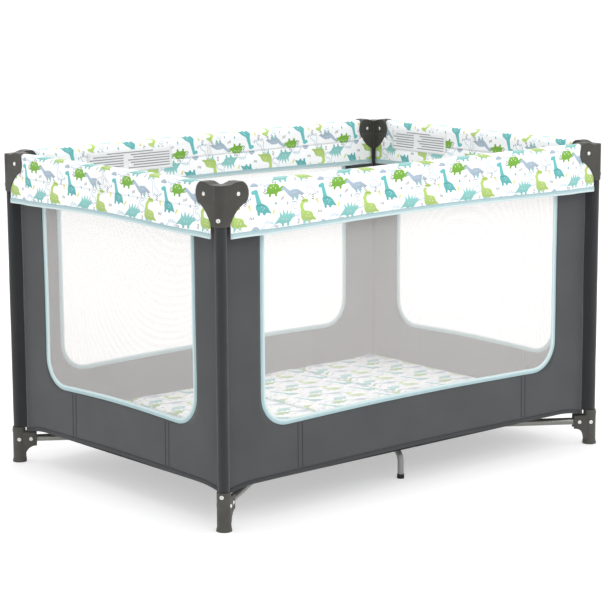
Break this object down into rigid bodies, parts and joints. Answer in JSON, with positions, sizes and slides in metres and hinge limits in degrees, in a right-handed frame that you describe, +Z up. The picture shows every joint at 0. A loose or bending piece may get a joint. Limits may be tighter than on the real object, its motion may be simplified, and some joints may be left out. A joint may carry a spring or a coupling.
{
  "type": "travel play yard",
  "caption": "Folding travel play yard: posts with feet, hinged top rails with latches, diagonal tubes on a lifting hub, sewn walls and a padded mattress.",
  "frame": {"origin": "on the floor under the centre of the hub", "axes": "+X along the long walls to the right, +Y towards the back, +Z up"},
  "size_m": [1.034, 0.72, 0.65],
  "materials": {
    "frame_steel": "satin powder coat",
    "bracket_plastic": "satin moulded plastic",
    "rivet_steel": "bright zinc plate",
    "wall_cloth": "woven polyester",
    "diagonal_steel": "satin powder coat",
    "hub_plastic": "satin moulded plastic",
    "strap_webbing": "woven webbing",
    "cap_rubber": "matt",
    "leg_steel": "satin grey coat",
    "button_plastic": "satin moulded plastic",
    "spring_steel": "bright drawn wire",
    "floor_cloth": "woven polyester",
    "mattress_cloth": "printed woven polyester"
  },
  "bodies": {
    "post_front_left": {"post_tube_front_left": "frame_steel", "top_bracket_front_left": "bracket_plastic", "foot_front_left": "bracket_plastic", "corner_rivets_front_left": "rivet_steel", "wall_fabric_front_left": "wall_cloth"},
    "post_front_right": {"post_tube_front_right": "frame_steel", "top_bracket_front_right": "bracket_plastic", "foot_front_right": "bracket_plastic", "corner_rivets_front_right": "rivet_steel", "wall_fabric_front_right": "wall_cloth"},
    "post_back_left": {"post_tube_back_left": "frame_steel", "top_bracket_back_left": "bracket_plastic", "foot_back_left": "bracket_plastic", "corner_rivets_back_left": "rivet_steel", "wall_fabric_back_left": "wall_cloth"},
    "post_back_right": {"post_tube_back_right": "frame_steel", "top_bracket_back_right": "bracket_plastic", "foot_back_right": "bracket_plastic", "corner_rivets_back_right": "rivet_steel", "wall_fabric_back_right": "wall_cloth"},
    "hub": {"hub_body": "hub_plastic", "hub_pins": "rivet_steel", "pull_strap": "strap_webbing", "floor_panel": "floor_cloth"},
    "diagonal_front_left": {"diagonal_tube_front_left": "diagonal_steel"},
    "diagonal_front_right": {"diagonal_tube_front_right": "diagonal_steel"},
    "diagonal_back_left": {"diagonal_tube_back_left": "diagonal_steel"},
    "diagonal_back_right": {"diagonal_tube_back_right": "diagonal_steel"},
    "long_rail_front_left": {"long_rail_front_left": "frame_steel"},
    "short_rail_front_left": {"short_rail_front_left": "frame_steel"},
    "long_rail_front_right": {"long_rail_front_right": "frame_steel"},
    "short_rail_front_right": {"short_rail_front_right": "frame_steel"},
    "long_rail_back_left": {"long_rail_back_left": "frame_steel"},
    "short_rail_back_left": {"short_rail_back_left": "frame_steel"},
    "long_rail_back_right": {"long_rail_back_right": "frame_steel"},
    "short_rail_back_right": {"short_rail_back_right": "frame_steel"},
    "latch_outer_front": {"latch_outer_shell_front": "hub_plastic", "button_spring_front": "spring_steel"},
    "latch_inner_front": {"latch_inner_shell_front": "hub_plastic"},
    "button_front": {"release_button_front": "button_plastic"},
    "latch_outer_right": {"latch_outer_shell_right": "hub_plastic", "button_spring_right": "spring_steel"},
    "latch_inner_right": {"latch_inner_shell_right": "hub_plastic"},
    "button_right": {"release_button_right": "button_plastic"},
    "latch_outer_back": {"latch_outer_shell_back": "hub_plastic", "button_spring_back": "spring_steel"},
    "latch_inner_back": {"latch_inner_shell_back": "hub_plastic"},
    "button_back": {"release_button_back": "button_plastic"},
    "latch_outer_left": {"latch_outer_shell_left": "hub_plastic", "button_spring_left": "spring_steel"},
    "latch_inner_left": {"latch_inner_shell_left": "hub_plastic"},
    "button_left": {"release_button_left": "button_plastic"},
    "centre_leg_front": {"centre_leg_front": "leg_steel", "centre_leg_cap_front": "cap_rubber"},
    "centre_leg_back": {"centre_leg_back": "leg_steel", "centre_leg_cap_back": "cap_rubber"},
    "mattress_1": {"mattress_board_1": "mattress_cloth"},
    "mattress_2": {"mattress_board_2": "mattress_cloth"},
    "mattress_3": {"mattress_board_3": "mattress_cloth"},
    "mattress_4": {"mattress_board_4": "mattress_cloth"}
  },
  "joints": [
    {"name": "fold", "type": "hinge", "parent": "post_front_left", "child": "diagonal_front_left", "pos_m": [-0.48021, -0.32942, 0.049], "axis": [0.5657, -0.8246, 0], "range_deg": [0, 85], "deforming": ["wall_fabric_front_left", "wall_fabric_front_right", "wall_fabric_back_left", "wall_fabric_back_right", "floor_panel", "mattress_board_1", "mattress_board_2", "mattress_board_3", "mattress_board_4"]},
    {"name": "hub_level", "type": "hinge", "parent": "diagonal_front_left", "child": "hub", "pos_m": [-0.07009, -0.04808, 0.049], "axis": [-0.5657, 0.8246, 0], "range_deg": [0, 85]},
    {"name": "diagonal_swing_front_right", "type": "hinge", "parent": "hub", "child": "diagonal_front_right", "pos_m": [0.07009, -0.04808, 0.049], "axis": [0.5657, 0.8246, 0], "range_deg": [0, 85]},
    {"name": "post_level_front_right", "type": "hinge", "parent": "diagonal_front_right", "child": "post_front_right", "pos_m": [0.48021, -0.32942, 0.049], "axis": [-0.5657, -0.8246, 0], "range_deg": [0, 85]},
    {"name": "diagonal_swing_back_left", "type": "hinge", "parent": "hub", "child": "diagonal_back_left", "pos_m": [-0.07009, 0.04808, 0.049], "axis": [-0.5657, -0.8246, 0], "range_deg": [0, 85]},
    {"name": "post_level_back_left", "type": "hinge", "parent": "diagonal_back_left", "child": "post_back_left", "pos_m": [-0.48021, 0.32942, 0.049], "axis": [0.5657, 0.8246, 0], "range_deg": [0, 85]},
    {"name": "diagonal_swing_back_right", "type": "hinge", "parent": "hub", "child": "diagonal_back_right", "pos_m": [0.07009, 0.04808, 0.049], "axis": [-0.5657, 0.8246, 0], "range_deg": [0, 85]},
    {"name": "post_level_back_right", "type": "hinge", "parent": "diagonal_back_right", "child": "post_back_right", "pos_m": [0.48021, 0.32942, 0.049], "axis": [0.5657, -0.8246, 0], "range_deg": [0, 85]},
    {"name": "long_rail_drop_front_left", "type": "hinge", "parent": "post_front_left", "child": "long_rail_front_left", "pos_m": [-0.468, -0.343, 0.628], "axis": [0, 1, 0], "range_deg": [0, 85]},
    {"name": "short_rail_drop_front_left", "type": "hinge", "parent": "post_front_left", "child": "short_rail_front_left", "pos_m": [-0.5, -0.311, 0.628], "axis": [-1, 0, 0], "range_deg": [0, 85]},
    {"name": "long_rail_drop_front_right", "type": "hinge", "parent": "post_front_right", "child": "long_rail_front_right", "pos_m": [0.468, -0.343, 0.628], "axis": [0, -1, 0], "range_deg": [0, 85]},
    {"name": "short_rail_drop_front_right", "type": "hinge", "parent": "post_front_right", "child": "short_rail_front_right", "pos_m": [0.5, -0.311, 0.628], "axis": [-1, 0, 0], "range_deg": [0, 85]},
    {"name": "long_rail_drop_back_left", "type": "hinge", "parent": "post_back_left", "child": "long_rail_back_left", "pos_m": [-0.468, 0.343, 0.628], "axis": [0, 1, 0], "range_deg": [0, 85]},
    {"name": "short_rail_drop_back_left", "type": "hinge", "parent": "post_back_left", "child": "short_rail_back_left", "pos_m": [-0.5, 0.311, 0.628], "axis": [1, 0, 0], "range_deg": [0, 85]},
    {"name": "long_rail_drop_back_right", "type": "hinge", "parent": "post_back_right", "child": "long_rail_back_right", "pos_m": [0.468, 0.343, 0.628], "axis": [0, -1, 0], "range_deg": [0, 85]},
    {"name": "short_rail_drop_back_right", "type": "hinge", "parent": "post_back_right", "child": "short_rail_back_right", "pos_m": [0.5, 0.311, 0.628], "axis": [1, 0, 0], "range_deg": [0, 85]},
    {"name": "latch_outer_level_front", "type": "hinge", "parent": "long_rail_front_left", "child": "latch_outer_front", "pos_m": [-0.05788, -0.343, 0.628], "axis": [0, -1, 0], "range_deg": [0, 85]},
    {"name": "latch_inner_level_front", "type": "hinge", "parent": "long_rail_front_right", "child": "latch_inner_front", "pos_m": [0.05788, -0.343, 0.628], "axis": [0, 1, 0], "range_deg": [0, 85]},
    {"name": "button_press_front", "type": "slide", "parent": "latch_outer_front", "child": "button_front", "axis": [0, 1, 0], "range_m": [0, 0.004], "stiffness_N_per_m": 400, "springref_m": -0.003, "deforming": ["button_spring_front"]},
    {"name": "latch_outer_level_right", "type": "hinge", "parent": "short_rail_front_right", "child": "latch_outer_right", "pos_m": [0.5, -0.02966, 0.628], "axis": [1, 0, 0], "range_deg": [0, 85]},
    {"name": "latch_inner_level_right", "type": "hinge", "parent": "short_rail_back_right", "child": "latch_inner_right", "pos_m": [0.5, 0.02966, 0.628], "axis": [-1, 0, 0], "range_deg": [0, 85]},
    {"name": "button_press_right", "type": "slide", "parent": "latch_outer_right", "child": "button_right", "axis": [-1, 0, 0], "range_m": [0, 0.004], "stiffness_N_per_m": 400, "springref_m": -0.003, "deforming": ["button_spring_right"]},
    {"name": "latch_outer_level_back", "type": "hinge", "parent": "long_rail_back_right", "child": "latch_outer_back", "pos_m": [0.05788, 0.343, 0.628], "axis": [0, 1, 0], "range_deg": [0, 85]},
    {"name": "latch_inner_level_back", "type": "hinge", "parent": "long_rail_back_left", "child": "latch_inner_back", "pos_m": [-0.05788, 0.343, 0.628], "axis": [0, -1, 0], "range_deg": [0, 85]},
    {"name": "button_press_back", "type": "slide", "parent": "latch_outer_back", "child": "button_back", "axis": [0, -1, 0], "range_m": [0, 0.004], "stiffness_N_per_m": 400, "springref_m": -0.003, "deforming": ["button_spring_back"]},
    {"name": "latch_outer_level_left", "type": "hinge", "parent": "short_rail_front_left", "child": "latch_outer_left", "pos_m": [-0.5, -0.02966, 0.628], "axis": [1, 0, 0], "range_deg": [0, 85]},
    {"name": "latch_inner_level_left", "type": "hinge", "parent": "short_rail_back_left", "child": "latch_inner_left", "pos_m": [-0.5, 0.02966, 0.628], "axis": [-1, 0, 0], "range_deg": [0, 85]},
    {"name": "button_press_left", "type": "slide", "parent": "latch_outer_left", "child": "button_left", "axis": [1, 0, 0], "range_m": [0, 0.004], "stiffness_N_per_m": 400, "springref_m": -0.003, "deforming": ["button_spring_left"]},
    {"name": "centre_leg_fold_front", "type": "hinge", "parent": "hub", "child": "centre_leg_front", "pos_m": [0, -0.06, 0.062], "axis": [1, 0, 0], "range_deg": [0, 85]},
    {"name": "centre_leg_fold_back", "type": "hinge", "parent": "hub", "child": "centre_leg_back", "pos_m": [0, 0.06, 0.062], "axis": [-1, 0, 0], "range_deg": [0, 85]},
    {"name": "mattress_lift", "type": "slide", "parent": "hub", "child": "mattress_2", "axis": [0, 0, 1], "range_m": [0, 0.2]},
    {"name": "mattress_hinge_1", "type": "hinge", "parent": "mattress_2", "child": "mattress_1", "pos_m": [-0.2433, 0, 0.0967], "axis": [0, 1, 0], "range_deg": [0, 180]},
    {"name": "mattress_hinge_2", "type": "hinge", "parent": "mattress_2", "child": "mattress_3", "pos_m": [0, 0, 0.0751], "axis": [0, 1, 0], "range_deg": [0, 180]},
    {"name": "mattress_hinge_3", "type": "hinge", "parent": "mattress_3", "child": "mattress_4", "pos_m": [0.2433, 0, 0.0967], "axis": [0, -1, 0], "range_deg": [0, 180]}
  ],
  "couplings": [
    {"joint": "hub_level", "follows": "fold", "ratio": 1},
    {"joint": "diagonal_swing_front_right", "follows": "fold", "ratio": 1},
    {"joint": "post_level_front_right", "follows": "fold", "ratio": 1},
    {"joint": "diagonal_swing_back_left", "follows": "fold", "ratio": 1},
    {"joint": "post_level_back_left", "follows": "fold", "ratio": 1},
    {"joint": "diagonal_swing_back_right", "follows": "fold", "ratio": 1},
    {"joint": "post_level_back_right", "follows": "fold", "ratio": 1},
    {"joint": "long_rail_drop_front_left", "follows": "fold", "ratio": 1},
    {"joint": "short_rail_drop_front_left", "follows": "fold", "ratio": 1},
    {"joint": "long_rail_drop_front_right", "follows": "fold", "ratio": 1},
    {"joint": "short_rail_drop_front_right", "follows": "fold", "ratio": 1},
    {"joint": "long_rail_drop_back_left", "follows": "fold", "ratio": 1},
    {"joint": "short_rail_drop_back_left", "follows": "fold", "ratio": 1},
    {"joint": "long_rail_drop_back_right", "follows": "fold", "ratio": 1},
    {"joint": "short_rail_drop_back_right", "follows": "fold", "ratio": 1},
    {"joint": "latch_outer_level_front", "follows": "fold", "ratio": 1},
    {"joint": "latch_inner_level_front", "follows": "fold", "ratio": 1},
    {"joint": "latch_outer_level_right", "follows": "fold", "ratio": 1},
    {"joint": "latch_inner_level_right", "follows": "fold", "ratio": 1},
    {"joint": "latch_outer_level_back", "follows": "fold", "ratio": 1},
    {"joint": "latch_inner_level_back", "follows": "fold", "ratio": 1},
    {"joint": "latch_outer_level_left", "follows": "fold", "ratio": 1},
    {"joint": "latch_inner_level_left", "follows": "fold", "ratio": 1},
    {"joint": "centre_leg_fold_front", "follows": "fold", "ratio": 1},
    {"joint": "centre_leg_fold_back", "follows": "fold", "ratio": 1},
    {"joint": "mattress_lift", "follows": "fold", "m_per_rad": 0.134},
    {"joint": "mattress_hinge_1", "follows": "fold", "ratio": 2.1},
    {"joint": "mattress_hinge_2", "follows": "fold", "ratio": 2.1},
    {"joint": "mattress_hinge_3", "follows": "fold", "ratio": 2.1}
  ]
}
